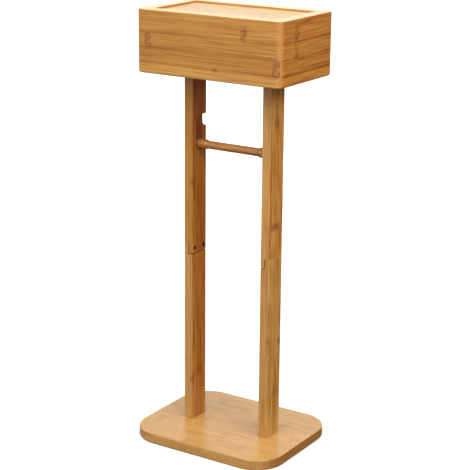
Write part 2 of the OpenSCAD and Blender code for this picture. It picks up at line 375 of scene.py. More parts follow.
@dataclass
class BambooGraph(Graph):
    """The nodes that draw one board of laminated bamboo.

    Attributes:
        finish: Colours and strengths of the finish.
        layup: How the board is glued up.
        place: Where the point lies in the board.
        fibres: The point along, across and through its strip's own fibres, in millimetres.
        tone: Tone of the wood, 0 dark to 1 pale.
        bundles: Strength of the fibre bundles, 0 to 1.
        marks: Strength of the knuckles' dark marks, 0 to 1.
        halo_and_shade: Strength of the brown patches and of the painted shade, 0 to 1.
        joint: Strength of the joints, 0 to 1.
    """

    finish: LaminatedBamboo
    layup: Layup
    place: Place = field(init=False)
    fibres: NodeSocket = field(init=False)
    tone: NodeSocket = field(init=False)
    bundles: NodeSocket = field(init=False)
    marks: NodeSocket = field(init=False)
    halo_and_shade: NodeSocket = field(init=False)
    joint: NodeSocket = field(init=False)

    def draw(self) -> None:
        """Draws the lacquered wood. Faces cut into the board have no film, and their dark colour
        is painted shade.
        """
        self.place = self._place()
        self.fibres = self._own_fibres()
        self.tone, self.bundles, self.joint = self._tone(), self._bundles(), self._joints()
        self.marks, self.halo_and_shade = self._knuckle_marks()
        coat: NodeSocket | float = self.finish.coat
        if self.place.cut is not None:
            coat = self.add("Math MULTIPLY_ADD", self.place.cut, -coat, coat)
        self.show(self.add("BsdfPrincipled", named={
            "Base Color": self._colour(), "Roughness": self._roughness(), "IOR": 1.5,
            "Coat Weight": coat, "Coat Roughness": self.finish.coat_roughness,
            "Normal": self._relief()}))

    def _place(self) -> Place:
        """Works out the strip and layer that a point lies in, and its distances in them.

        The object's coordinates in millimetres are read along, across and through the board. The
        layer is the whole part of depth over layer thickness, the strip that of the distance
        across over strip width, and each further layer is shifted by a part of a strip.

        Returns:
            The sockets of the place.
        """
        add, layup = self.add, self.layup
        at = add("TexCoord", output="Object")
        at = add("Mapping", named={"Vector": at, "Scale": (1 / MM,) * 3})
        axes = add("SeparateXYZ", at).node.outputs
        along, across, through = (axes[axis] for axis in layup.run.value)
        depth = add("Math MULTIPLY_ADD", through, -float(layup.face_sign),
                    layup.face_sign * layup.face_mm + SPARE_MM)
        layers = add("Math MULTIPLY", depth, 1 / layup.layer_mm)
        layer = add("Math FLOOR", layers)
        strips = add("Math MULTIPLY_ADD", across, 1 / layup.strip_mm,
                     -layup.first_joint_mm / layup.strip_mm)
        strips = add("Math MULTIPLY_ADD", layer, STAGGER, strips)
        strip = add("Math FLOOR", strips)
        cell = add("CombineXYZ", strip, layer, float(layup.seed))
        chance = add("TexWhiteNoise", cell, output="Color", noise_dimensions="3D")
        tone, knuckles = self._tables(strip)
        knuckle = self._nearest(knuckles, along)
        ring = add("CombineXYZ", across, along, layer)
        wobble = self._noise(ring, (1 / 4.5, 1 / 7, 3.1), 2.0)
        wavy = add("Math MULTIPLY_ADD", wobble, SCAR_SWING_MM, knuckle)
        return Place(
            point=add("CombineXYZ", along, across, depth), tone=tone, chance=chance,
            chances=tuple(add("SeparateColor", chance).node.outputs),
            part=add("Math FRACT", strips),
            joint=self._to_line(strips, layup.strip_mm),
            layer_joint=self._to_line(layers, layup.layer_mm), knuckle=knuckle,
            wavy_knuckle=add("Math SUBTRACT", wavy, SCAR_SWING_MM / 2),
            sanded=self._sanded(along), cut=self._cut(across, depth))

    def _tables(self, strip: NodeSocket) -> list[NodeSocket]:
        """Looks up a strip in two tables, each the steps of a colour ramp.

        The strips repeat across the board, so the row is the remainder of the strip's number.

        Args:
            strip: Number of the strip.

        Returns:
            The strip's tone, and a colour that holds the places of its three knuckles, each over
            twice the board's length.
        """
        strips, found = self.layup.strips, []
        low, high = self.layup.span_mm
        row = self.add("Math WRAP", strip, float(len(strips)), 0.0)
        step = self.add("Math MULTIPLY_ADD", row, 1 / len(strips), 0.5 / len(strips))
        for rows in ([(s.tone,) * 3 for s in strips],
                     [(*((k - low) / (high - low) / 2 for k in s.knuckles_mm),
                       *(FAR_AWAY,) * 3)[:3] for s in strips]):
            colour = self.add("ValToRGB", step)
            colour.node.color_ramp.interpolation = "CONSTANT"
            set_stops(colour, [(n / len(rows), (*row, 1.0)) for n, row in enumerate(rows)])
            found.append(colour)
        return found

    def _nearest(self, knuckles: NodeSocket, along: NodeSocket) -> NodeSocket:
        """Finds the distance along the grain to the nearest of a strip's three knuckles.

        Args:
            knuckles: Colour that holds their places, each over twice the board's length.
            along: Distance along the grain, in millimetres.

        Returns:
            The least of the three distances, in millimetres.
        """
        low, high = self.layup.span_mm
        from_low = self.add("Math SUBTRACT", along, low)
        places = [self.add("Math MULTIPLY", channel, 2 * (high - low))
                  for channel in self.add("SeparateColor", knuckles).node.outputs]
        return self._least(*(self._apart(from_low, place) for place in places))

    def _least(self, *values: NodeSocket) -> NodeSocket:
        """Finds the least of some values."""
        return reduce(lambda one, other: self.add("Math MINIMUM", one, other), values)

    def _apart(self, one: NodeSocket, other: NodeSocket | float) -> NodeSocket:
        """Finds how far apart two values are."""
        return self.add("Math ABSOLUTE", self.add("Math SUBTRACT", one, other))

    def _to_line(self, count: NodeSocket, pitch_mm: float) -> NodeSocket:
        """Finds the distance to the nearest line of an even row of lines.

        It is the pitch times the distance from the count to the nearest whole number.

        Args:
            count: Distance over pitch.
            pitch_mm: Distance between two lines.

        Returns:
            The distance, in millimetres.
        """
        share = self.add("Math PINGPONG", count, 0.5)
        return self.add("Math MULTIPLY", share, pitch_mm)

    def _sanded(self, along: NodeSocket) -> NodeSocket:
        """Marks the board's rounded ends, where sanding runs through the fibres and a highlight is
        painted.

        The mark grows from 0 to 1 as the point goes from 0.3 to 0.65 of the rounding's length.

        Args:
            along: Distance along the grain, in millimetres.

        Returns:
            The mark, 0 to 1.
        """
        low, high = self.layup.span_mm
        rounded = self.layup.rounded_mm
        half = (high - low) / 2 - rounded
        return self.add("MapRange", self._apart(along, (low + high) / 2), half + 0.3 * rounded,
                        half + 0.65 * rounded + 0.1, 0.0, 1.0 if rounded else 0.0)

    def _cut(self, across: NodeSocket, depth: NodeSocket) -> NodeSocket | None:
        """Marks the faces that are cut into the board, such as a slot's, where shade is painted.

        The mark goes by the least of the distances to the board's two broad faces and its two
        edges.

        Args:
            across: Distance across the strips, in millimetres.
            depth: Distance below the show face, with the spare depth, in millimetres.

        Returns:
            The mark, 0 to 1, or nothing where the board has no such face.
        """
        if self.layup.section_mm is None:
            return None
        thick, half = self.layup.section_mm
        above = self.add("Math SUBTRACT", depth, SPARE_MM)
        below = self.add("Math SUBTRACT", thick + SPARE_MM, depth)
        aside = self.add("Math SUBTRACT", half, self.add("Math ABSOLUTE", across))
        return self.add("MapRange", self._least(above, below, aside), CUT_FROM_MM, CUT_FULL_MM)

    def _noise(self, point: NodeSocket, size: tuple[float, float, float], detail: float,
               **more: float) -> NodeSocket:
        """Makes a noise that is drawn out along its axes.

        Args:
            point: Where it is read.
            size: What each coordinate is multiplied by.
            detail: How much finer noise is added.
            more: Other inputs of the noise, by name.

        Returns:
            The noise, mostly between 0.2 and 0.8.
        """
        at = self.add("VectorMath MULTIPLY", point, size)
        return self.add("TexNoise", named={"Vector": at, "Scale": 1.0, "Detail": detail, **more})

    def _drawn_out(self, streak: Streak) -> NodeSocket:
        """Makes a noise that is long along the fibres and narrow across them."""
        size = (1 / streak.length_mm, 1 / streak.width_mm, 1 / streak.width_mm)
        return self._noise(self.fibres, size, 2.0, Roughness=0.55)

    def _own_fibres(self) -> NodeSocket:
        """Gives each strip its own stretch of fibres, which sway and bow round the knuckles.

        The random colour of the strip moves it in the field of fibres. A slow noise sways them,
        and a bump, which fades out away from a knuckle, bows them.

        Returns:
            The point along, across and through the fibres, in millimetres.
        """
        own = self.add("VectorMath MULTIPLY_ADD", self.place.chance, STRETCH_MM, self.place.point)
        sway = self._noise(own, (1 / 70, 1 / 16, 1 / 16), 1.0)
        bow = self.add("MapRange", self.place.knuckle, 0.0, BOW_REACH_MM, BOW_MM, 0.0, **SMOOTH)
        side = self.add("Math MULTIPLY_ADD", sway, SWAY_MM, bow)
        side = self.add("CombineXYZ", 0.0, side)
        return self.add("VectorMath ADD", own, side)

    def _tone(self) -> NodeSocket:
        """Adds to the strip's own tone its dense side, its streaks and its dark threads.

        The tone is the strip's, less a shade that fades out away from the joint below, plus for
        each size of streak its share times the noise less a half. Threads are the high spots of
        a fine noise, and they are dark. On a sanded end the tone goes most of the way to an even
        one.

        Returns:
            The tone, 0 dark to 1 pale.
        """
        add, finish, place = self.add, self.finish, self.place
        most = add("Math MULTIPLY", place.chances[1], -finish.dense_side)
        dense = add("MapRange", place.part, 0.0, DENSE_REACH, most, 0.0, **SMOOTH)
        total = add("Math ADD", place.tone, dense)
        for streak in finish.streaks:
            share = streak.share * finish.contrast
            total = add("Math MULTIPLY_ADD", self._drawn_out(streak), share, total)
            total = add("Math SUBTRACT", total, share / 2)
        threads = add("MapRange", self._drawn_out(finish.threads), 0.58, 0.70, 0.0,
                      -finish.threads.share * finish.contrast)
        total = add("Math ADD", total, threads)
        even = add("Math MULTIPLY", place.sanded, SANDED_EVEN)
        return add("Mix", even, named={2: total, 3: SANDED_TONE})

    def _bundles(self) -> NodeSocket:
        """Draws the fibre bundles: dark dashes on a face, and dots on the end grain.

        Cells drawn out along the grain are dark up to an eighth of their spacing, and fade out
        at four tenths. A random share of them, which differs from strip to strip, keeps some
        strips plainer. There are none on a sanded end.

        Returns:
            The strength of the bundles, 0 to 1.
        """
        fine = 1 / self.finish.bundle_mm
        at = self.add("VectorMath MULTIPLY", self.fibres, (fine / BUNDLE_STRETCH, fine, fine))
        cells = self.add("TexVoronoi", named={"Vector": at, "Scale": 1.0}, output="Distance")
        dots = self.add("MapRange", cells, 0.12, 0.42, 1.0, 0.0, **SMOOTH)
        share = self.add("Math SUBTRACT", self.place.chances[2], self.place.sanded, use_clamp=True)
        return self.add("Math MULTIPLY", dots, share)

    def _knuckle_marks(self) -> list[NodeSocket]:
        """Draws what is left of a knuckle on a planed face: scars, small loops and a brown patch.

        A scar runs across the strip to either side, wavy and broken into pieces. Between the
        two, loops are the lines where a noise of about 6 mm is near a half, and a coarser noise
        lets only some of them show. A faint brown patch round the knuckle fades out at about
        10 mm, and the board's brown spots, painted shade among them, are added to it. Each
        strip has its own strength.

        Returns:
            The strength of the dark marks, and that of the brown patches and painted shade, 0 to
            1.
        """
        add, place = self.add, self.place
        fine = self._noise(place.point, (1 / 8, 1 / 5.5, 1 / 5.5), 1.0, Distortion=0.5)
        loops = add("MapRange", self._apart(fine, 0.5), 0.035, 0.11, 1.0, 0.0, **SMOOTH)
        coarse = self._noise(place.point, (1 / 8, 1 / 6, 1 / 8), 1.0)
        ragged = add("Math MULTIPLY_ADD", coarse, 14.0, place.knuckle)
        near = add("MapRange", ragged, 7.5, 10.0, 0.9, 0.0, **SMOOTH)
        loops = add("Math MULTIPLY", loops, near)
        scars = add("MapRange", self._apart(place.wavy_knuckle, SCAR_OFF_MM), 0.5, 1.3, 0.85,
                    0.0, **SMOOTH)
        broken = add("MapRange", fine, 0.42, 0.5, 0.15, 1.0)
        scars = add("Math MULTIPLY", scars, broken)
        marks = add("Math MAXIMUM", loops, scars)
        halo_and_shade = add("MapRange", ragged, 7.0, 16.0, 1.0, 0.0, **SMOOTH)
        own = add("MapRange", place.chances[0], 0.0, 1.0, WEAKEST_KNUCKLE, 1.0)
        marks, halo_and_shade = (add("Math MULTIPLY", drawn, own) for drawn in (marks, halo_and_shade))
        return [marks, self._stained_and_shaded(halo_and_shade)]

    def _stained_and_shaded(self, halo_and_shade: NodeSocket) -> NodeSocket:
        """Adds a board's brown spots, painted shade among them, to the patch round its knuckles.

        A spot fades out as the distance from its middle, over its reach, grows from 0.2 to 1. It
        goes as deep as it is wide. A noise of about 5 mm by 2 mm moves its edge in and out.

        Args:
            halo_and_shade: Strength of the brown patch round the knuckles.

        Returns:
            The strength of both together, 0 to 1.
        """
        add = self.add
        halo_and_shade = add("Math MULTIPLY", halo_and_shade, self.finish.halo_strength)
        for stain_and_shade in self.layup.stains_and_shade:
            middle = (stain_and_shade.along_mm, stain_and_shade.across_mm, stain_and_shade.depth_mm + SPARE_MM)
            reach = (1 / stain_and_shade.long_mm, 1 / stain_and_shade.wide_mm, 1 / stain_and_shade.wide_mm)
            off = add("VectorMath SUBTRACT", self.place.point, middle)
            off = add("VectorMath MULTIPLY", off, reach)
            away = add("VectorMath LENGTH", off, output="Value")
            away = add("Math ADD", self._drawn_out(Streak(5.0, 2.0)), away)
            spot = add("MapRange", away, 0.7, 1.5, stain_and_shade.strength, 0.0, **SMOOTH)
            halo_and_shade = add("Math MAXIMUM", halo_and_shade, spot)
        return halo_and_shade

    def _joints(self) -> NodeSocket:
        """Draws the glue joints between strips and between layers, stronger and weaker by turns.

        A joint is dark within 0.2 mm and fades out at 1 mm, times a slow noise along the grain.
        A glue line between layers is half as wide. Both are drawn wider than the tenth of a
        millimetre that they measure, so that they show from where the camera stands.

        Returns:
            The strength of the joints, 0 to 1.
        """
        strips = self.add("MapRange", self.place.joint, 0.2, 1.0, 1.0, 0.0, **SMOOTH)
        layers = self.add("MapRange", self.place.layer_joint, 0.1, 0.5, 0.8, 0.0, **SMOOTH)
        lines = self.add("Math MAXIMUM", strips, layers)
        slow = self._noise(self.fibres, (1 / 45, 1 / 50, 1 / 50), 2.0)
        part = self.add("MapRange", slow, 0.35, 0.65, 0.35, 1.0)
        return self.add("Math MULTIPLY", lines, part)

    def _facing(self) -> list[NodeSocket]:
        """Marks a board's edges and its end grain by the way that the surface faces.

        Each mark grows from 0 to 1 as the surface's normal comes to lie across the strips, or
        along the grain.

        Returns:
            The mark of the edges and that of the end grain, 0 to 1.
        """
        axes = self.add("SeparateXYZ", self.add("TexCoord", output="Normal")).node.outputs
        along, across, _ = self.layup.run.value
        parts = [self.add("Math ABSOLUTE", axes[axis]) for axis in (across, along)]
        return [self.add("MapRange", part, 0.6, 0.9) for part in parts]

    def _colour(self) -> NodeSocket:
        """Turns tone and marks into the colour of the wood.

        The tone goes through a ramp from dark to pale. A slow noise across the grain turns the
        hue by up to 4 degrees towards rose or 1 towards olive, and the marks are laid over.

        Returns:
            The colour.
        """
        finish, place = self.finish, self.place
        colour = self.add("ValToRGB", self.tone)
        set_stops(colour, [(0.0, to_linear(finish.dark)), (0.5, to_linear(finish.mid)),
                           (1.0, to_linear(finish.pale))])
        hue = self.add("MapRange", self._drawn_out(Streak(220.0, 5.0)), 0.3, 0.7, 0.49, 0.504)
        colour = self.add("HueSaturation", named={"Hue": hue, "Color": colour})
        edge, end = self._facing()
        layers = [(edge, finish.side_share, finish.side_colour),
                  (end, finish.end_share, finish.side_colour),
                  # Painted highlight: the rounded ends, at the box's corners, painted paler.
                  (place.sanded, SANDED_HIGHLIGHT, finish.side_colour),
                  (self.bundles, BUNDLE_SHARE, finish.dark),
                  # Brown patches, brown spots and the painted shade among them, in the colour of
                  # knuckle flecks.
                  (self.halo_and_shade, 1.0, finish.char),
                  (self.joint, finish.joint_strength, finish.char),
                  (self.marks, finish.knuckle_strength, finish.char)]
        # Painted shade on the faces cut into the board: the slot, the half-lap's gap and the screw
        # holes.
        if place.cut is not None:
            layers.append((place.cut, 1.0, finish.recess_shade))
        for strength, most, tint in layers:
            share = self.add("Math MULTIPLY", strength, most)
            colour = self.add("Mix", share, named={6: colour, 7: to_linear(tint)}, **COLOURS)
        return colour

    def _roughness(self) -> NodeSocket:
        """Makes dark fibre a little glossier than soft wood, knuckles duller and cuts dull.

        Returns:
            The roughness.
        """
        mean = self.finish.roughness
        rough = self.add("MapRange", self.tone, 0.0, 1.0, mean - 0.05, mean + 0.05)
        for strength, more in ((self.marks, 0.12), (self.place.cut, 0.5)):
            if strength is not None:
                rough = self.add("Math MULTIPLY_ADD", strength, more, rough)
        return rough

    def _relief(self) -> NodeSocket:
        """Raises the grain under the lacquer, and bends the normal by it.

        Soft wood stands 0.02 mm proud of the fibre, bundles lie 0.01 mm low, and knuckle marks
        and joints 0.03 mm.

        Returns:
            The bent normal.
        """
        height = self.add("Math MULTIPLY", self.tone, 0.02)
        for strength, drop in ((self.bundles, -0.01), (self.marks, -0.03), (self.joint, -0.03)):
            height = self.add("Math MULTIPLY_ADD", strength, drop, height)
        return self.add("Bump", named={"Strength": 1.0, "Distance": MM, "Height": height})


# Golden strips, as the box's front shows them. Their pale edges make the rims pale: partly the
# wood's own paler edges, partly a painted highlight.
GOLDEN = LaminatedBamboo(
    "golden_bamboo", dark="824B15", mid="A06E2B", pale="B68B45", dense_side=0.35,
    streaks=(Streak(220.0, 6.0, 0.5), Streak(140.0, 2.3, 1.0), Streak(70.0, 1.2, 0.9)),
    side_share=0.85)
# A redder batch with a bolder grain, as the box's right end shows it. Its pale edges too are
# partly a painted highlight on the rims.
RUSSET = LaminatedBamboo("russet_bamboo", dark="894711", mid="AC722B", pale="C48F43",
                         joint_strength=0.45, side_share=0.85)
# Honey-brown strips, as the left post's lower length shows them
HONEY = LaminatedBamboo(
    "honey_bamboo", dark="8A4810", mid="A86A22", pale="C08438",
    streaks=(Streak(110.0, 6.0, 1.3), Streak(50.0, 2.4, 1.5), Streak(30.0, 1.2, 1.0)),
    knuckle_strength=0.7, halo_strength=0.45, side_colour="A5854F", side_share=0.6)
# Its upper length is darker and redder, and the right post is paler
AMBER = replace(HONEY, name="amber_bamboo", dark="86420D", mid="A4611E", pale="BB7A30",
                side_colour="98702C")
WHEAT = replace(HONEY, name="wheat_bamboo", dark="925519", mid="B57E37", pale="CC9C56",
                side_colour="A98048", contrast=1.1)
# The right post's lower length is browner at the front
TAWNY = replace(WHEAT, name="tawny_bamboo", dark="8F561C", mid="AF7E38", pale="C79D57",
                side_colour="98703A")
# The bar is turned from darker bamboo
CHESTNUT = replace(HONEY, name="chestnut_bamboo", dark="7C4310", mid="986322", pale="AD7D38",
                   side_share=0.0)
# The base board is of a paler batch
STRAW = LaminatedBamboo(
    "straw_bamboo", dark="A06C31", mid="B98D4B", pale="CEAC71",
    streaks=(Streak(90.0, 7.0, 0.8), Streak(45.0, 2.4, 0.7), Streak(22.0, 0.9, 0.3)),
    threads=Streak(80.0, 2.0, 0.2), contrast=0.75, dense_side=0.15, knuckle_strength=0.23,
    joint_strength=0.05, halo_strength=0.12, side_colour="8A5222", side_share=0.3,
    end_share=0.7)
# The lid is the palest
CREAM = LaminatedBamboo(
    "cream_bamboo", dark="A57836", mid="C39E55", pale="D9C07F", contrast=0.6,
    dense_side=0.25, knuckle_strength=0.26, joint_strength=0.2, halo_strength=0.15)


@dataclass(frozen=True)
class BlackenedSteel:
    """Hardened screw steel under a black phosphate coat.

    What it gives the eye: brownish black metal with a faint mottle and dull highlights.

    Attributes:
        name: Name of the material.
        dark: Colour of the mottle's dark side.
        light: Colour of its light side.
        mottle_mm: Size of the mottle.
        relief_mm: Height of the mottle.
    """

    name: str = "blackened_steel"
    dark: str = "33241B"
    light: str = "533F31"
    mottle_mm: float = 0.6
    relief_mm: float = 0.02

    def material(self) -> Material:
        """Builds the material: a fine noise sets its colour, its roughness and its relief.

        Returns:
            The material.
        """
        material, graph = new_material(self.name)
        point = graph.add("TexCoord", output="Object")
        noise = graph.add("TexNoise", named={
            "Vector": point, "Scale": 1 / (self.mottle_mm * MM), "Detail": 3.0})
        colour = graph.add("ValToRGB", noise)
        set_stops(colour, [(0.3, to_linear(self.dark)), (0.7, to_linear(self.light))])
        rough = graph.add("MapRange", noise, 0.3, 0.7, 0.4, 0.6)
        normal = graph.add("Bump", named={
            "Strength": 0.4, "Distance": self.relief_mm * MM, "Height": noise})
        graph.show(graph.add("BsdfPrincipled", named={
            "Base Color": colour, "Metallic": 1.0, "Roughness": rough, "Normal": normal}))
        return material


@dataclass
class BaseBoard:
    """The board that stands on the floor: flat strips from left to right, in three layers."""

    node: str = "base_board"
    top_mm: float = 17.0
    half_w_mm: float = 133.5
    half_d_mm: float = 106.5
    strip_mm: float = 23.7
    layer_mm: float = 5.7
    finish: LaminatedBamboo = STRAW

    def build(self) -> list[Object]:
        """Dresses the CAD board.

        Returns:
            The board.
        """
        strips = (
            Strip(0.48, (-24.0,)), Strip(0.45, (65.0,)), Strip(0.52, (15.0, -110.0)),
            Strip(0.48, (-70.0,)), Strip(0.54, (116.0, -44.0)), Strip(0.6, (35.0,)),
            Strip(0.55, (79.0,)), Strip(0.55, (-60.0,)), Strip(0.55, (6.0,)),
        )
        layup = Layup(Run.FLAT_ALONG_X, self.top_mm, 1, self.strip_mm, -self.half_d_mm,
                      self.layer_mm, (-self.half_w_mm, self.half_w_mm), strips, 11)
        return [self.finish.dress(self.node, layup)]


@dataclass
class Posts:
    """The two posts, each of a lower and an upper length that meet in a half-lap.

    Each length is three upright layers thick. Its half of the lap is cut into it, and so is the
    upper one's slot.
    """

    inner_x_mm: float = 64.25
    thickness_mm: float = 16.0
    half_d_mm: float = 19.5
    strip_mm: float = 21.0
    foot_mm: float = 17.0
    lap_mm: float = 304.0
    lap_length_mm: float = 15.0
    head_mm: float = 602.5

    def build(self) -> list[Object]:
        """Dresses the four CAD lengths.

        Returns:
            The two lower lengths and the two upper ones, the left one first.
        """
        inner, outer = -self.inner_x_mm, self.inner_x_mm + self.thickness_mm
        lower = (self.foot_mm, self.lap_mm + self.lap_length_mm)
        upper = (self.lap_mm, self.head_mm)
        lengths = (
            ("post_lower_left", inner, lower, (Strip(0.5), Strip(0.45)), 21, HONEY,
             (StainAndShade(101.0, 1.0, 14.0, 13.0, 0.5), StainAndShade(89.0, -19.0, 10.0, 6.0, 0.65))),
            ("post_lower_right", outer, lower, (Strip(0.6), Strip(0.6)), 22, TAWNY,
             (StainAndShade(175.0, 14.0, 13.0, 6.0, 0.75), StainAndShade(183.0, -19.0, 8.0, 5.0, 0.4),
              StainAndShade(93.0, 5.0, 17.0, 13.0, 0.35))),
            ("post_upper_left", inner, upper, (Strip(0.5), Strip(0.5)), 23, AMBER,
             (StainAndShade(424.0, -18.5, 11.0, 8.0, 0.6),)),
            ("post_upper_right", outer, upper, (Strip(0.5), Strip(0.5)), 24, WHEAT,
             (StainAndShade(535.0, -2.0, 15.0, 13.0, 0.55), StainAndShade(370.0, -3.0, 9.0, 22.0, 0.6),
              # The last spot is painted shade: the top of the right post darkened where the box
              # above shades it.
              StainAndShade(598.0, -6.0, 50.0, 50.0, 0.28))),
        )
        return [finish.dress(node, Layup(
            Run.UPRIGHT, face, 1, self.strip_mm, -self.strip_mm, self.thickness_mm / 3, span,
            strips, seed, (self.thickness_mm, self.half_d_mm), stains_and_shade=stains_and_shade))
            for node, face, span, strips, seed, finish, stains_and_shade in lengths]


@dataclass
class RollBar:
    """The turned bar that the roll hangs on, with thicker ends.

    It is turned from strips that are wider than the bar, so only glue lines between layers show.
    """

    node: str = "roll_bar"
    axis_mm: float = 484.0
    half_length_mm: float = 70.95
    end_radius_mm: float = 8.0
    strip_mm: float = 30.0
    layer_mm: float = 5.0
    finish: LaminatedBamboo = CHESTNUT

    def build(self) -> list[Object]:
        """Dresses the CAD bar.

        Returns:
            The bar.
        """
        # Painted shade: a dark spot on the lower front of the bar, near its right end beside the
        # right post.
        stain_and_shade = StainAndShade(46.0, -5.0, 11.0, 7.0, 0.85, depth_mm=12.5)
        layup = Layup(Run.FLAT_ALONG_X, self.axis_mm + self.end_radius_mm, 1, self.strip_mm,
                      -self.strip_mm / 2, self.layer_mm,
                      (-self.half_length_mm, self.half_length_mm), (Strip(0.5),), 31,
                      stains_and_shade=(stain_and_shade,))
        return [self.finish.dress(self.node, layup)]


@dataclass
class ShelfBox:
    """The box on the posts: four mitred walls, a bottom board and ledge strips for the lid.

    A wall is one layer, drawn a little thicker than the wall so that no glue line shows.
    """

    bottom_mm: float = 602.5
    half_w_mm: float = 130.0
    half_d_mm: float = 77.25
    wall_mm: float = 20.0
    wall_layer_mm: float = 21.0
    strip_mm: float = 23.7
    first_joint_mm: float = 595.2
    bottom_board_mm: float = 9.0
    ledge_top_mm: float = 689.7
    corner_mm: float = 10.0
    # Colour of the back and left walls' rims: a painted highlight, paler than the other rims.
    rim_highlight_colour: str = "D8C090"
    front_finish: LaminatedBamboo = GOLDEN
    finish: LaminatedBamboo = RUSSET

    def build(self) -> list[Object]:
        """Dresses the walls, the bottom board and the ledges, and returns them."""
        return [*self._walls(), self._bottom(), *self._ledges()]

    def _spans(self) -> tuple[tuple[float, float], tuple[float, float]]:
        """Gives the ends of the box from left to right and from front to back."""
        return (-self.half_w_mm, self.half_w_mm), (-self.half_d_mm, self.half_d_mm)

    def _walls(self) -> list[Object]:
        """Dresses the four walls. The rims of the back and left ones are paler still: a painted
        highlight.

        Returns:
            The walls.
        """
        wide, deep = self._spans()
        front = (Strip(0.75), Strip(0.45, (121.5,)), Strip(0.5, (-108.0,)),
                 Strip(0.6, (65.0,)), Strip(0.62))
        back = (*strips_by_chance(4, wide, 2, 42), Strip(0.5))
        left = (*strips_by_chance(4, deep, 1, 43), Strip(0.5))
        right = (Strip(0.55), Strip(0.45), Strip(0.5, (-33.0,)), Strip(0.5, (-33.0,)),
                 Strip(0.42))
        # The back and left walls get the paler rims, a painted highlight.
        rear, far = (replace(finish, side_colour=self.rim_highlight_colour)
                     for finish in (self.front_finish, self.finish))
        walls = (
            ("box_front_board", Run.WALL_ALONG_X, -1, wide, front, 41, self.front_finish,
             (StainAndShade(15.0, 619.5, 8.0, 5.0, 0.62),)),
            ("box_back_board", Run.WALL_ALONG_X, 1, wide, back, 42, rear, ()),
            ("box_left_board", Run.WALL_ALONG_Y, -1, deep, left, 43, far, ()),
            ("box_right_board", Run.WALL_ALONG_Y, 1, deep, right, 44, self.finish, ()),
        )
        half = {Run.WALL_ALONG_X: self.half_d_mm, Run.WALL_ALONG_Y: self.half_w_mm}
        return [finish.dress(node, Layup(
            run, sign * half[run], sign, self.strip_mm, self.first_joint_mm,
            self.wall_layer_mm, span, strips, seed, rounded_mm=self.corner_mm, stains_and_shade=stains_and_shade))
            for node, run, sign, span, strips, seed, finish, stains_and_shade in walls]

    def _bottom(self) -> Object:
        """Dresses the bottom board, which is two layers thick.

        Returns:
            The board.
        """
        wide = self._spans()[0]
        return self.finish.dress("box_bottom_board", Layup(
            Run.FLAT_ALONG_X, self.bottom_mm, -1, self.strip_mm, -self.half_d_mm,
            self.bottom_board_mm / 2, wide, strips_by_chance(7, wide, 1, 45), 45))

    def _ledges(self) -> list[Object]:
        """Dresses the five ledges, which are ripped from boards like the walls.

        Returns:
            The ledges.
        """
        wide, deep = self._spans()
        ledges = (("ledge_front_left", Run.WALL_ALONG_X, wide),
                  ("ledge_front_right", Run.WALL_ALONG_X, wide),
                  ("ledge_back", Run.WALL_ALONG_X, wide),
                  ("ledge_left", Run.WALL_ALONG_Y, deep),
                  ("ledge_right", Run.WALL_ALONG_Y, deep))
        return [self.finish.dress(node, Layup(
            run, span[1], 1, self.strip_mm, self.ledge_top_mm - self.strip_mm, self.wall_mm,
            span, strips_by_chance(2, span, 1, seed), seed))
            for seed, (node, run, span) in enumerate(ledges, 46)]


@dataclass
class Lid:
    """The loose panel in the top of the box, which is the shelf."""

    node: str = "lid_panel"
    top_mm: float = 698.0
    half_w_mm: float = 109.0
    half_d_mm: float = 56.25
    strip_mm: float = 22.5
    layer_mm: float = 4.0
    finish: LaminatedBamboo = CREAM

    def build(self) -> list[Object]:
        """Dresses the CAD panel.

        Returns:
            The panel.
        """
        span = (-self.half_w_mm, self.half_w_mm)
        layup = Layup(Run.FLAT_ALONG_X, self.top_mm, 1, self.strip_mm, -self.half_d_mm,
                      self.layer_mm, span, strips_by_chance(5, span, 1, 51), 51)
        return [self.finish.dress(self.node, layup)]


@dataclass(frozen=True)
class ScrewPlace:
    """Where a screw sits: the middle of its head's face, and the way that face looks."""

    middle_mm: tuple[float, float, float]
    out: tuple[float, float, float]


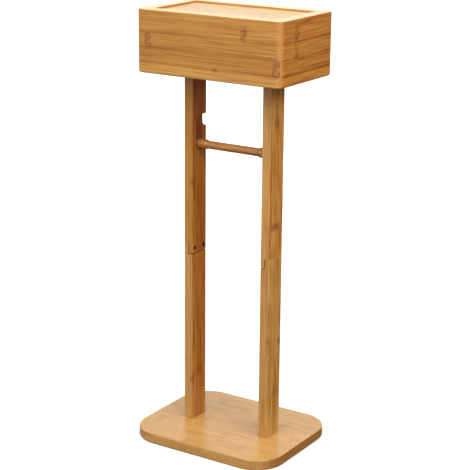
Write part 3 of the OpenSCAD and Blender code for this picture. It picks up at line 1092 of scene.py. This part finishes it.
@dataclass
class Screws:
    """Countersunk wood screws with a cross recess and a thread, in place of one CAD node's.

    The head is twice as wide as the shank, so its radius is the screw's diameter.

    Attributes:
        node: CAD node that the screws stand for.
        diameter_mm: Diameter over the thread.
        length_mm: Length from the head's face to the point.
        plain: Share of the length that has no thread.
        places: Where each screw sits.
        steel: Material of the screws.
        recess: Length of the cross's arms, half their width and their depth, in diameters.
        pitch: Rise of the thread in one turn, in diameters.
        tooth: Depth of the thread, as a share of the radius.
        turns: Points in a ring.
        rings_a_pitch: Rings in one turn of the thread.
    """

    node: str
    diameter_mm: float
    length_mm: float
    plain: float
    places: tuple[ScrewPlace, ...]
    steel: Material
    recess: tuple[float, float, float] = (0.6, 0.16, 0.42)
    pitch: float = 0.45
    tooth: float = 0.3
    turns: int = 64
    rings_a_pitch: int = 8

    def build(self) -> list[Object]:
        """Makes the screws of the node as one piece.

        Returns:
            The piece, which rides with the stand and hides the CAD node.
        """
        points, faces = self._one_screw()
        seated = [self._seat(points, place) for place in self.places]
        rows = [faces + number * len(points) for number in range(len(self.places))]
        mesh = bpy.data.meshes.new(f"{self.node}_threaded")
        mesh.from_pydata(np.concatenate(seated).tolist(), [],
                         [[i for i in row if i >= 0] for row in np.concatenate(rows).tolist()])
        mesh.polygons.foreach_set("use_smooth", np.ones(len(mesh.polygons), bool))
        mesh.set_sharp_from_angle(angle=math.radians(38))
        piece = bpy.data.objects.new(f"{self.node}_threaded", mesh)
        bpy.context.scene.collection.objects.link(piece)
        wear(piece, self.steel)
        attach(piece, "stand")
        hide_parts(self.node)
        return [piece]

    def _profile(self) -> tuple[np.ndarray, np.ndarray]:
        """Gives the screw's outline from the middle of its face to its point.

        The face runs out to the head's edge, which is slightly rounded, the countersink runs in
        at 45 degrees to the shank, the shank runs down, and the last length, as long as the
        screw is thick, tapers.

        Returns:
            The radius and the height of each ring, in millimetres.
        """
        head, shank = self.diameter_mm, self.diameter_mm / 2
        cone = head - shank
        taper = -self.length_mm + self.diameter_mm
        rings = int(self.length_mm / (self.pitch * self.diameter_mm) * self.rings_a_pitch)
        face_r = np.linspace(0, head - 0.15, 26)
        edge_r = np.array([head - 0.05, head, head])
        edge_z = np.array([-0.03, -0.1, -0.2])
        cone_r = np.linspace(head - 0.1, shank, 8)
        cone_z = np.linspace(-0.3, -cone, 8)
        shank_z = np.linspace(-cone - 0.05, taper, rings)
        tip_r = shank * np.linspace(0.98, 0.0, 24)
        tip_z = np.linspace(taper - 0.1, -self.length_mm, 24)
        radius = np.concatenate([face_r, edge_r, cone_r, np.full(rings, shank), tip_r])
        height = np.concatenate([0 * face_r, edge_z, cone_z, shank_z, tip_z])
        return radius, height

    def _one_screw(self) -> tuple[np.ndarray, np.ndarray]:
        """Works out a screw with its face at height 0 and its point straight down.

        Each ring of the outline is turned about the axis. On the face the surface drops into a
        cross, whose arms narrow with depth. On the shank the radius is the crest's less a tooth
        shaped like a V, whose place along the axis advances by one pitch a turn.

        Returns:
            The points, in millimetres, and the faces as rows of four corners, where a corner of
            -1 means a triangle.
        """
        radius, height = (line[:, None] for line in self._profile())
        pitch = self.pitch * self.diameter_mm
        arm, wide, deep = (share * self.diameter_mm for share in self.recess)
        angle = np.linspace(0, 2 * np.pi, self.turns, endpoint=False)
        x, y = radius * np.cos(angle), radius * np.sin(angle)
        arms = [np.clip((wide - np.abs(b)) / (0.5 * wide), 0, 1)
                * np.clip((arm - np.abs(a)) / (0.55 * arm), 0, 1) for a, b in ((x, y), (y, x))]
        z = height - (height == 0) * deep * np.maximum(*arms)
        phase = (height / pitch - angle / (2 * np.pi)) % 1
        crest = np.abs(phase - 0.5) * 2
        fade = np.clip((-self.plain * self.length_mm - height) / pitch, 0, 1)
        r = radius * (1 - self.tooth * fade * (1 - crest))
        points = np.stack([r * np.cos(angle), r * np.sin(angle), z], axis=2)
        body = points[1:-1].reshape(-1, 3)
        return (np.concatenate([points[0, :1], body, points[-1, :1]]),
                self._faces(len(radius) - 2))

    def _faces(self, rings: int) -> np.ndarray:
        """Joins the rings by quads, and the first and last ring to their poles by triangles.

        Args:
            rings: Number of rings between the two poles.

        Returns:
            The faces as rows of four corners, where a corner of -1 means a triangle.
        """
        here = np.arange(self.turns)
        after = (here + 1) % self.turns
        level = 1 + np.arange(rings - 1)[:, None] * self.turns
        quads = np.stack([level + here, level + here + self.turns,
                          level + after + self.turns, level + after], axis=2).reshape(-1, 4)
        last = 1 + (rings - 1) * self.turns
        none = np.full(self.turns, -1)
        first_fan = np.stack([0 * here, 1 + here, 1 + after, none], axis=1)
        last_fan = np.stack([last + after, last + here, 0 * here + last + self.turns, none],
                            axis=1)
        return np.concatenate([first_fan, quads, last_fan])

    def _seat(self, points: np.ndarray, place: ScrewPlace) -> np.ndarray:
        """Turns a screw so that its face looks out, and moves it to its place.

        Args:
            points: The screw's points, in millimetres.
            place: Where it goes.

        Returns:
            The points, in metres.
        """
        out = np.array(place.out)
        side = np.array([0.0, 1.0, 0.0])
        basis = np.stack([np.cross(side, out), side, out])
        return (points @ basis + np.array(place.middle_mm)) * MM


def screw_sets() -> tuple[Screws, ...]:
    """Lists the four sets of screws, at the places that the CAD gives them.

    Returns:
        The sets: base into posts, box into posts, and each post's half-lap.
    """
    posts, rows = (-72.25, 72.25), (-12.5, 12.5)
    up, down = (0.0, 0.0, 1.0), (0.0, 0.0, -1.0)
    steel = BlackenedSteel().material()
    base, box = (tuple(ScrewPlace((x, y, z), out) for x in posts for y in rows)
                 for z, out in ((5.0, down), (611.3, up)))
    left, right = (tuple(ScrewPlace((sign * 64.45, y, 313.5), (-sign, 0.0, 0.0)) for y in rows)
                   for sign in (-1.0, 1.0))
    return (Screws("base_screws", 4.0, 41.0, 0.3, base, steel),
            Screws("box_screws", 4.0, 37.8, 0.25, box, steel),
            Screws("lap_screws_left", 3.5, 12.8, 0.2, left, steel),
            Screws("lap_screws_right", 3.5, 12.8, 0.2, right, steel))


@dataclass(frozen=True)
class Softbox:
    """A large soft lamp: where it hangs, where it points, how wide it is and how bright."""

    name: str
    place: tuple[float, float, float]
    aim: tuple[float, float, float]
    width: float
    height: float
    watts: float

    def hang(self) -> None:
        """Hangs the lamp where it belongs."""
        data = bpy.data.lights.new(self.name, "AREA")
        data.shape = "RECTANGLE"
        data.size, data.size_y = self.width, self.height
        data.energy = self.watts
        light = bpy.data.objects.new(self.name, data)
        light.location = self.place
        way = Vector(self.aim) - Vector(self.place)
        light.rotation_euler = way.to_track_quat("-Z", "Y").to_euler()
        bpy.context.scene.collection.objects.link(light)


@dataclass
class Studio:
    """A pale floor, soft lamps and the camera at the photograph's angle.

    Attributes:
        floor_half: Half the width of the floor.
        floor_drop: How far the floor lies under the base, so that the two never coincide.
        floor_colour: Colour of the floor.
        sky: Brightness of the white walls.
        front_ground: Brightness of the white ground before the object.
        rear_ground: Brightness of the ground behind it.
        rear_ground_colour: Warm colour of that ground.
        lamps: The soft lamps.
        camera_place: Where the camera stands.
        azimuth: How far the camera has gone round towards +X, in degrees.
        pitch: How far it looks down, in degrees.
        roll: How far it is tilted, in degrees.
        lens_mm: Focal length for a sensor 36 mm wide.
    """

    floor_half: float = 8.0
    floor_drop: float = 0.0002
    floor_colour: str = "E6E5E3"
    sky: float = 1.3
    front_ground: float = 0.31
    rear_ground: float = 0.06
    rear_ground_colour: str = "FF9A86"
    lamps: tuple[Softbox, ...] = (
        Softbox("overhead_softbox", (-0.2, -1.5, 2.4), (0.0, 0.0, 0.3), 2.0, 1.6, 50.0),
        Softbox("right_softbox", (1.6, -0.5, 2.2), (0.0, 0.0, 0.3), 1.6, 1.8, 56.0),
        Softbox("front_softbox", (0.3, -2.8, 1.5), (0.0, 0.0, 0.4), 1.8, 1.8, 20.0),
    )
    camera_place: tuple[float, float, float] = (1.2015, -1.8736, 0.9924)
    azimuth: float = 32.579
    pitch: float = 16.271
    roll: float = 0.5324
    lens_mm: float = 111.443

    def build(self) -> list[Object]:
        """Sets up floor, room, lamps and camera.

        Returns:
            The floor, which is the studio's only mesh.
        """
        floor = self._floor()
        self._room()
        for lamp in self.lamps:
            lamp.hang()
        self._camera()
        bpy.context.scene.view_settings.view_transform = "Standard"
        return [floor]

    def _floor(self) -> Object:
        """Lays a plain pale floor that is clear when seen from below.

        Away from the object it glows as much as the lamps leave it short of white: the glow
        grows from 0.2 to 1 between 0.2 and 2.5 m from the middle.

        Returns:
            The floor.
        """
        half, z = self.floor_half, -self.floor_drop
        mesh = bpy.data.meshes.new("floor")
        mesh.from_pydata([(-half, -half, z), (half, -half, z), (half, half, z),
                          (-half, half, z)], [], [(0, 1, 2, 3)])
        floor = bpy.data.objects.new("floor", mesh)
        bpy.context.scene.collection.objects.link(floor)
        material, graph = new_material("pale_studio_floor")
        point = graph.add("TexCoord", output="Object")
        noise = graph.add("TexNoise", named={"Vector": point, "Scale": 2.0, "Detail": 2.0})
        rough = graph.add("MapRange", noise, 0.0, 1.0, 0.75, 0.85)
        away = graph.add("VectorMath LENGTH", point, output="Value")
        glow = graph.add("MapRange", away, 0.2, 2.5, 0.2, 1.0)
        paint = graph.add("BsdfPrincipled", named={
            "Base Color": to_linear(self.floor_colour), "Roughness": rough,
            "Specular IOR Level": 0.1, "Emission Color": to_linear("FFFFFF"),
            "Emission Strength": glow})
        behind = graph.add("NewGeometry", output="Backfacing")
        graph.show(graph.add("MixShader", behind, paint, graph.add("BsdfTransparent")))
        wear(floor, material)
        floor.visible_diffuse = floor.visible_glossy = floor.visible_shadow = False
        return floor

    def _room(self) -> None:
        """Surrounds the object with white walls and a dimmer ground that is warm at the rear.

        Three shares say how high a direction points, how far it points to the front left, and
        whether it is above the horizon. The walls fade out towards the zenith, where the lamps
        are, but what shows behind the object is plain white.
        """
        world = bpy.data.worlds.new("white_room")
        world.use_nodes = True
        graph = Graph(world.node_tree)
        direction = graph.add("TexCoord", output="Generated")
        rise = graph.add("SeparateXYZ", direction, output="Z")
        toward = graph.add("VectorMath DOT_PRODUCT", direction, (-0.54, -0.84, 0.0),
                           output="Value")
        front = graph.add("MapRange", toward, -0.5, 0.5, **SMOOTH)
        above = graph.add("MapRange", rise, -0.05, 0.05)
        high = graph.add("MapRange", rise, 0.35, 0.75, **SMOOTH)
        walls, near, far = (
            (*(brightness * c for c in to_linear(tint)[:3]), 1.0) for brightness, tint in (
                (self.sky, "FFFFFF"), (self.front_ground, "FFFFFF"),
                (self.rear_ground, self.rear_ground_colour)))
        sky = graph.add("Mix", high, named={6: walls, 7: to_linear("000000")}, **COLOURS)
        ground = graph.add("Mix", front, named={6: far, 7: near}, **COLOURS)
        room = graph.add("Mix", above, named={6: ground, 7: sky}, **COLOURS)
        seen = graph.add("LightPath", output="Is Camera Ray")
        room = graph.add("Mix", seen, named={6: room, 7: to_linear("FFFFFF")}, **COLOURS)
        graph.tree.links.new(room, graph.tree.nodes["Background"].inputs["Color"])
        bpy.context.scene.world = world

    def _camera(self) -> None:
        """Puts the camera where the photograph was taken from.

        The view direction has the azimuth and pitch; the camera's right is level before it is
        turned by the roll about the view direction.
        """
        azimuth, pitch, roll = map(math.radians, (self.azimuth, self.pitch, self.roll))
        ahead = Vector((-math.sin(azimuth) * math.cos(pitch),
                        math.cos(azimuth) * math.cos(pitch), -math.sin(pitch)))
        level = ahead.cross(Vector((0, 0, 1))).normalized()
        upright = level.cross(ahead)
        right = level * math.cos(roll) + upright * math.sin(roll)
        up = upright * math.cos(roll) - level * math.sin(roll)
        data = bpy.data.cameras.new("photo_camera")
        data.lens, data.sensor_width = self.lens_mm, 36.0
        data.clip_start, data.clip_end = 0.05, 60.0
        camera = bpy.data.objects.new("photo_camera", data)
        turn = Matrix((right, up, -ahead)).transposed().to_4x4()
        camera.matrix_world = Matrix.Translation(self.camera_place) @ turn
        bpy.context.scene.collection.objects.link(camera)
        bpy.context.scene.camera = camera


def main() -> None:
    """Builds and dresses the holder, piece by piece, and logs each piece with its material."""
    logging.basicConfig(level=logging.INFO, format="%(name)s: %(message)s")
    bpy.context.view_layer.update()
    for maker in (BaseBoard(), Posts(), RollBar(), ShelfBox(), Lid(), *screw_sets(), Studio()):
        for piece in maker.build():
            log.info("%s: %s in %s", type(maker).__name__, piece.name,
                     piece.active_material.name)


if __name__ == "__main__":
    main()
